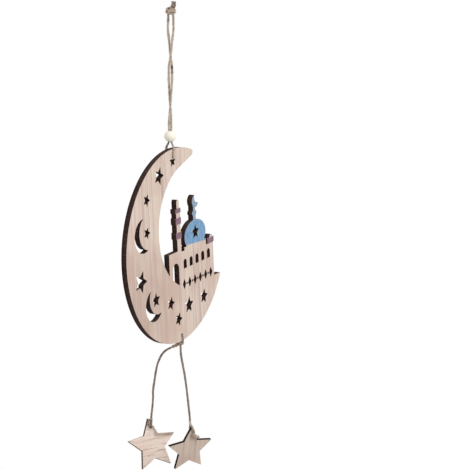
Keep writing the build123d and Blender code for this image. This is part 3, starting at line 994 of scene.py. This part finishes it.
def board_material():
    """Pale board with burnt walls, and paint on the front of the dome, minaret and turret."""
    shader = Shader("board_wood")
    across, along, forward = shader.local(BOARD_CENTRE / MM, BOARD_RIGHT, BOARD_UP, BOARD_FRONT)
    place, normal = shader.coordinates()
    facing = shader.dot(normal, BOARD_FRONT)
    front = shader.span(facing, *FACE_EDGE)
    wood, height = grain(shader, across, along, forward, *BOARD_TONES)
    patch = shader.distance(across, along, *DARK_PATCH)
    wood = shader.mix(shader.span(patch, *DARK_PATCH_FADE), wood, DARK_PATCH_TONE)

    ragged = shader.noise(place, RAGGED_SCALE)
    ragged = shader.span(ragged, *NOISE_RANGE, -PAINT_RAGGED, PAINT_RAGGED)
    painted_x = shader.math("ADD", across, ragged)
    painted_z = shader.math("ADD", along, ragged)
    strokes = shader.noise(
        shader.vector((across, along, STROKE_LAYER), STROKE_STRETCH), detail=4.0
    )
    rim_x = shader.times(shader.math("SUBTRACT", across, DOME_MIDDLE[0]), 1 / DOME_HALF[0])
    rim_z = shader.times(shader.math("SUBTRACT", along, DOME_MIDDLE[1]), 1 / DOME_HALF[1])
    rim = shader.span(shader.distance(rim_x, rim_z, 0.0, 0.0), *DOME_RIM)
    thin = shader.math("MAXIMUM", rim, shader.span(along, *FINIAL_THIN))
    blue = shader.mix(thin, shader.ramp(strokes, PAINT_STOPS, BLUES), THIN_BLUE)
    purple = shader.ramp(strokes, PAINT_STOPS, PURPLES)

    slope = shader.math("ADD", painted_z, shader.times(across, DOME_SLOPE))
    dome = shader.times(shader.inside(painted_x, *DOME_X), shader.inside(slope, *DOME_Z))
    bands = 0.0
    for band in MINARET_BANDS:
        bands = shader.math("MAXIMUM", bands, shader.inside(painted_z, *band))
    minaret = shader.times(shader.inside(across, *MINARET_X), bands)
    beside = shader.inside(across, *TURRET_X)
    turret = shader.times(beside, shader.inside(painted_z, *TURRET_BAND))
    cap = shader.times(beside, shader.inside(painted_z, *TURRET_CAP))
    worn = shader.span(shader.noise(place, WORN_SCALE, detail=2.0), *WORN_SHARE)
    cover = shader.times(front, worn)
    face = shader.mix(shader.times(dome, cover), wood, blue)
    face = shader.mix(shader.times(shader.math("MAXIMUM", minaret, turret), cover), face, purple)
    face = shader.mix(shader.times(cap, front), face, TURRET_CAP_TONE)

    wall_x = shader.dot(place, (1 / MM, 0, 0))
    wall_z = shader.dot(place, (0, 0, 1 / MM))
    wall, lines = burnt(shader, wall_x, forward, wall_z, *BOARD_WALL)
    shades = [(shade, shade, shade, 1) for shade in WALL_SHADES]
    depth = shader.ramp(shader.span(forward, -BOARD_HALF, BOARD_HALF), WALL_DEPTHS, shades)
    wall = shader.mix(1.0, wall, depth, "MULTIPLY")
    return cut_wood(shader, facing, face, height, wall, lines, BOARD_ROUGHNESS)


# Stars: brown marks as places to the right and up from the middle, reaches and strengths
BROWN_MARK = srgb(128, 103, 90)
# Dark tone of the painted shade round the lower half of each star's hole
HOLE_SHADE = srgb(48, 33, 28)
FIGURE = srgb(170, 146, 130)
FIGURE_STRETCH = (0.5, 0.075, 1)
FIGURE_LAYER = 4.0
FIGURE_SHARE = (0.53, 0.65, 0.0, 0.6)
PATCHY_SCALE = 520.0
PATCHY_SHARE = (0.3, 0.65, 0.25, 1.0)
MARK_CORE = 0.25
HOLE_RIM = (1.5, 2.2)
HOLE_UNDER = (-0.5, 0.3)
UPRIGHT_WAVE = 0.6
LEVEL_WAVE = 1.6
ARM_RISE = 0.44
ARM_FALL = 0.138
ARM_DEPTH = (2.2, 3.8)
ARM_START = (1.5, 4.0)
LEFT_TONES = (
    srgb(246, 232, 221),
    srgb(236, 218, 205),
    srgb(206, 183, 168),
    srgb(240, 224, 207),
    srgb(226, 202, 189),
)
LEFT_WALL = (srgb(44, 32, 29), srgb(74, 56, 50), srgb(112, 90, 80))
RIGHT_TONES = (
    srgb(217, 200, 185),
    srgb(205, 186, 171),
    srgb(178, 156, 140),
    srgb(211, 194, 176),
    srgb(194, 171, 156),
)
RIGHT_WALL = (srgb(24, 15, 13), srgb(40, 28, 25), srgb(66, 48, 42))


def star_material(name, star, tones, wall_tones, upright, brown_marks, arm_band, hole_shade):
    """Pale star with burnt walls, its grain upright or level, brown marks on the front, and painted
    shade round the lower half of its hole.
    """
    shader = Shader(name)
    across, along, forward = shader.local(star.middle, star.right, star.up, star.front)
    place, normal = shader.coordinates()
    facing = shader.dot(normal, star.front)
    front = shader.span(facing, *FACE_EDGE)
    if upright:
        wood, height = grain(shader, across, along, forward, *tones, wave=UPRIGHT_WAVE)
    else:
        wood, height = grain(shader, along, across, forward, *tones, wave=LEVEL_WAVE)
        figure = shader.vector((along, across, FIGURE_LAYER), FIGURE_STRETCH)
        figure = shader.span(shader.noise(figure, detail=4.0), *FIGURE_SHARE)
        wood = shader.mix(figure, wood, FIGURE)
    patchy = shader.span(shader.noise(place, PATCHY_SCALE, detail=4.0), *PATCHY_SHARE)
    for right, up, reach, strength in brown_marks:
        away = shader.distance(across, along, right, up)
        mark = shader.span(away, MARK_CORE * reach, reach, strength, 0.0)
        wood = shader.mix(shader.times(mark, patchy, front), wood, BROWN_MARK)
    # Painted shade: a dark crescent on the front round the lower half of the hole, standing in for
    # the hole's shaded inside
    rim = shader.distance(across, along, STAR_HOLE_X, star.hole_rise)
    rim = shader.span(rim, *HOLE_RIM, hole_shade, 0.0)
    low, high = (star.hole_rise + value for value in HOLE_UNDER)
    under = shader.span(along, low, high, 1.0, 0.0)
    wood = shader.mix(shader.times(rim, under, front), wood, HOLE_SHADE)
    # A brown band under the upper edge of the right arm
    if arm_band:
        edge = shader.math("SUBTRACT", ARM_RISE * star.radius, shader.times(across, ARM_FALL))
        below = shader.math("SUBTRACT", edge, along)
        mark = shader.span(below, *ARM_DEPTH, arm_band, 0.0)
        mark = shader.times(mark, shader.span(across, *ARM_START), front)
        wood = shader.mix(mark, wood, BROWN_MARK)
    wall, lines = burnt(shader, across, forward, along, *wall_tones)
    return cut_wood(shader, facing, wood, height, wall, lines, STAR_ROUGHNESS)


# Bead: its middle in millimetres, and its turned wood
BEAD_MIDDLE = (0, 0, -102.3)
BEAD_TONES = (srgb(249, 239, 219), srgb(254, 248, 232), srgb(255, 252, 241))
BEAD_PORE = srgb(226, 210, 184)
BEAD_RING_STRETCH = (0.9, 0.9, 0.07)
BEAD_PORE_STRETCH = (4.2, 4.2, 0.4)
BEAD_PORE_SHARE = (0.6, 0.78, 0.0, 0.25)
BEAD_BUMP = (0.2, 0.06 * MM)
BEAD_ROUGHNESS = (0.5, 0.4)


def bead_material():
    """Smooth pale turned wood with a faint grain."""
    shader = Shader("bead_wood")
    axes = shader.local(BEAD_MIDDLE, Vector((1, 0, 0)), Vector((0, 1, 0)), Vector((0, 0, 1)))
    rings = shader.noise(shader.vector(axes, BEAD_RING_STRETCH), detail=5.0, roughness=0.6)
    pores = shader.noise(shader.vector(axes, BEAD_PORE_STRETCH), detail=2.0)
    colour = shader.ramp(rings, PAINT_STOPS, BEAD_TONES)
    colour = shader.mix(shader.span(pores, *BEAD_PORE_SHARE), colour, BEAD_PORE)
    shader.bump(pores, *BEAD_BUMP)
    return shader.finish(colour, shader.span(rings, *NOISE_RANGE, *BEAD_ROUGHNESS))


def dress(node, material):
    """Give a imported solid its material."""
    bpy.data.objects[node].material_slots[0].material = material


dress("crescent_plate", board_material())
dress("wood_bead", bead_material())
dress(
    "left_star",
    star_material(
        "left_star_wood",
        left_star,
        LEFT_TONES,
        LEFT_WALL,
        upright=False,
        brown_marks=[
            (STAR_HOLE_X, left_star.hole_rise, 5.5, 0.8),
            (-0.3, 20.5, 6.0, 0.9),
            (9.5, -7.9, 1.1, 1.0),
        ],
        arm_band=0.55,
        hole_shade=1.0,
    ),
)
dress(
    "right_star",
    star_material(
        "right_star_wood",
        right_star,
        RIGHT_TONES,
        RIGHT_WALL,
        upright=True,
        brown_marks=[
            (STAR_HOLE_X + 1.5, right_star.hole_rise - 1.0, 5.0, 0.6),
            (0.0, 21.0, 3.2, 1.0),
        ],
        arm_band=0.0,
        hole_shade=0.5,
    ),
)


# World, lamps and floor. The lamps are given by name, place, width and power
WHITE = (1, 1, 1, 1)
FLOOR_Z = -2.05
FLOOR_RADIUS = 4.5
FLOOR_SIDES = 96
FLOOR_TONE = (0.9, 0.9, 0.9, 1)
FLOOR_ROUGHNESS = 0.9
FLOOR_FADE = (0.6, 4.2)
WORLD_LIGHT = 0.66
WORLD_SEEN = 1.0
LAMPS = (
    ("key", (-0.3, -1.42, 0.85), 0.9, 14.0),
    ("back", (0.7, 1.5, 0.5), 1.4, 4.5),
)


def background_rays(tree):
    """One for rays that come from the camera, a reflection or a see-through surface, else zero."""
    paths = tree.nodes.new("ShaderNodeLightPath")
    seen = paths.outputs["Is Camera Ray"]
    for kind in ("Is Glossy Ray", "Is Transmission Ray"):
        either = tree.nodes.new("ShaderNodeMath")
        either.operation = "MAXIMUM"
        tree.links.new(seen, either.inputs[0])
        tree.links.new(paths.outputs[kind], either.inputs[1])
        seen = either.outputs[0]
    return seen


def make_floor():
    """Pale floor far below the ornament, fading to white towards its rim."""
    angles = [FULL_TURN * step / FLOOR_SIDES for step in range(FLOOR_SIDES)]
    ring = [(FLOOR_RADIUS * math.cos(turn), FLOOR_RADIUS * math.sin(turn), 0) for turn in angles]
    mesh = bpy.data.meshes.new("floor")
    mesh.from_pydata(ring, [], [tuple(range(FLOOR_SIDES))])
    floor = bpy.data.objects.new("floor", mesh)
    floor.location = (0, 0, FLOOR_Z)
    bpy.context.scene.collection.objects.link(floor)
    shader = Shader("floor")
    shader.bsdf.inputs["Base Color"].default_value = FLOOR_TONE
    shader.bsdf.inputs["Roughness"].default_value = FLOOR_ROUGHNESS
    place, _ = shader.coordinates()
    length = shader.tree.nodes.new("ShaderNodeVectorMath")
    length.operation = "LENGTH"
    shader.feed(length.inputs[0], place)
    fade = shader.span(length.outputs["Value"], *FLOOR_FADE)
    white = shader.tree.nodes.new("ShaderNodeEmission")
    white.inputs["Color"].default_value = WHITE
    blend = shader.tree.nodes.new("ShaderNodeMixShader")
    shader.feed(blend.inputs[0], shader.times(fade, background_rays(shader.tree)))
    shader.feed(blend.inputs[1], shader.bsdf.outputs[0])
    shader.feed(blend.inputs[2], white.outputs[0])
    output = shader.tree.nodes["Material Output"]
    shader.feed(output.inputs["Surface"], blend.outputs[0])
    mesh.materials.append(shader.material)


def make_lights():
    """White surroundings of a plain level, and two broad lamps aimed at the board."""
    scene = bpy.context.scene
    scene.view_settings.view_transform = "Standard"
    world = bpy.data.worlds.new("studio")
    scene.world = world
    world.use_nodes = True
    tree = world.node_tree
    background = tree.nodes["Background"]
    background.inputs["Color"].default_value = WHITE
    strength = tree.nodes.new("ShaderNodeMapRange")
    strength.inputs["To Min"].default_value = WORLD_LIGHT
    strength.inputs["To Max"].default_value = WORLD_SEEN
    tree.links.new(background_rays(tree), strength.inputs["Value"])
    tree.links.new(strength.outputs["Result"], background.inputs["Strength"])
    for name, place, width, power in LAMPS:
        data = bpy.data.lights.new(name, "AREA")
        data.shape = "DISK"
        data.size = width
        data.energy = power
        lamp = bpy.data.objects.new(name, data)
        scene.collection.objects.link(lamp)
        lamp.location = place
        lamp.rotation_mode = "QUATERNION"
        lamp.rotation_quaternion = (BOARD_CENTRE - Vector(place)).to_track_quat("-Z", "Y")


make_floor()
make_lights()
